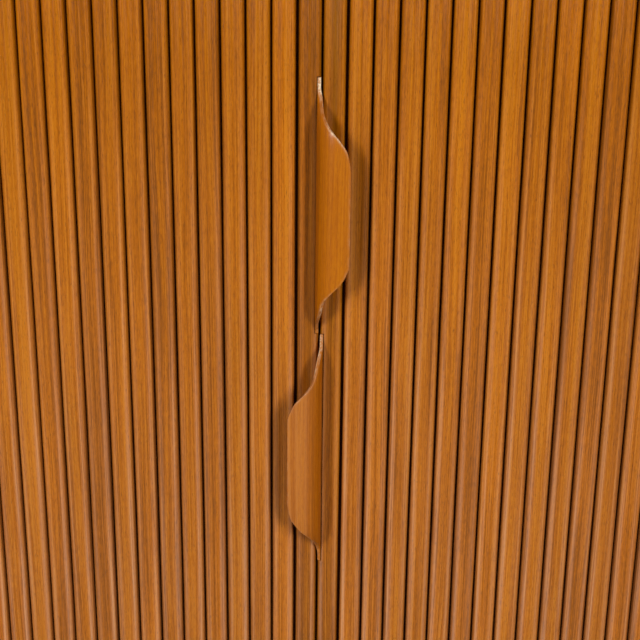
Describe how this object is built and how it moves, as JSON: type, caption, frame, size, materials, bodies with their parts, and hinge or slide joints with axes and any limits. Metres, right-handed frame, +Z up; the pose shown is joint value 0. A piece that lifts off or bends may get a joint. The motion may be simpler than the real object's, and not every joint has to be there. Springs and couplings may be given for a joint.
{
  "type": "tambour door cabinet",
  "caption": "Free-standing teak cabinet whose flat slatted tambour doors slide apart behind reeded end panels, with formed lip pulls, shelves inside and turned tapered legs.",
  "frame": {"origin": "on the floor, under the middle of the case", "axes": "+Z up; +X to the right as one faces the doors; +Y from the front to the back, so the doors face -Y"},
  "size_m": [1.008, 0.43, 1.1],
  "materials": {
    "slat_teak": "oiled teak, straight grain, satin sheen",
    "pull_teak": "oiled formed teak, worn pale along its edges",
    "case_teak": "oiled teak veneer, satin",
    "base_teak": "oiled solid teak, turned and sanded",
    "teak_plywood": "sanded plywood, lacquered",
    "canvas_backing": "plain-woven cotton canvas, glued",
    "pin_brass": "turned brass, dulled"
  },
  "bodies": {
    "case": {"adjustable_shelf": "case_teak", "back_panel": "teak_plywood", "bottom_panel": "case_teak", "fixed_shelf": "case_teak", "front_rail": "base_teak", "left_end_panel": "slat_teak", "left_front_leg": "base_teak", "left_front_shelf_pin": "pin_brass", "left_pocket_liner": "teak_plywood", "left_rail": "base_teak", "left_rear_leg": "base_teak", "left_rear_shelf_pin": "pin_brass", "left_side_panel": "case_teak", "rear_rail": "base_teak", "right_end_panel": "slat_teak", "right_front_leg": "base_teak", "right_front_shelf_pin": "pin_brass", "right_pocket_liner": "teak_plywood", "right_rail": "base_teak", "right_rear_leg": "base_teak", "right_rear_shelf_pin": "pin_brass", "right_side_panel": "case_teak", "top_panel": "case_teak"},
    "left_door": {"left_canvas_backing": "canvas_backing", "left_lead_slat": "slat_teak", "left_pull": "pull_teak", "left_slat_02": "slat_teak", "left_slat_03": "slat_teak", "left_slat_04": "slat_teak", "left_slat_05": "slat_teak", "left_slat_06": "slat_teak", "left_slat_07": "slat_teak", "left_slat_08": "slat_teak", "left_slat_09": "slat_teak", "left_slat_10": "slat_teak", "left_slat_11": "slat_teak", "left_slat_12": "slat_teak", "left_slat_13": "slat_teak", "left_slat_14": "slat_teak", "left_slat_15": "slat_teak", "left_slat_16": "slat_teak"},
    "right_door": {"right_canvas_backing": "canvas_backing", "right_lead_slat": "slat_teak", "right_pull": "pull_teak", "right_slat_02": "slat_teak", "right_slat_03": "slat_teak", "right_slat_04": "slat_teak", "right_slat_05": "slat_teak", "right_slat_06": "slat_teak", "right_slat_07": "slat_teak", "right_slat_08": "slat_teak", "right_slat_09": "slat_teak", "right_slat_10": "slat_teak", "right_slat_11": "slat_teak", "right_slat_12": "slat_teak", "right_slat_13": "slat_teak", "right_slat_14": "slat_teak", "right_slat_15": "slat_teak", "right_slat_16": "slat_teak"}
  },
  "joints": [
    {"name": "left_door_slide", "type": "slide", "parent": "case", "child": "left_door", "axis": [-1, 0, 0], "range_m": [0, 0.224]},
    {"name": "right_door_slide", "type": "slide", "parent": "case", "child": "right_door", "axis": [1, 0, 0], "range_m": [0, 0.224]}
  ]
}
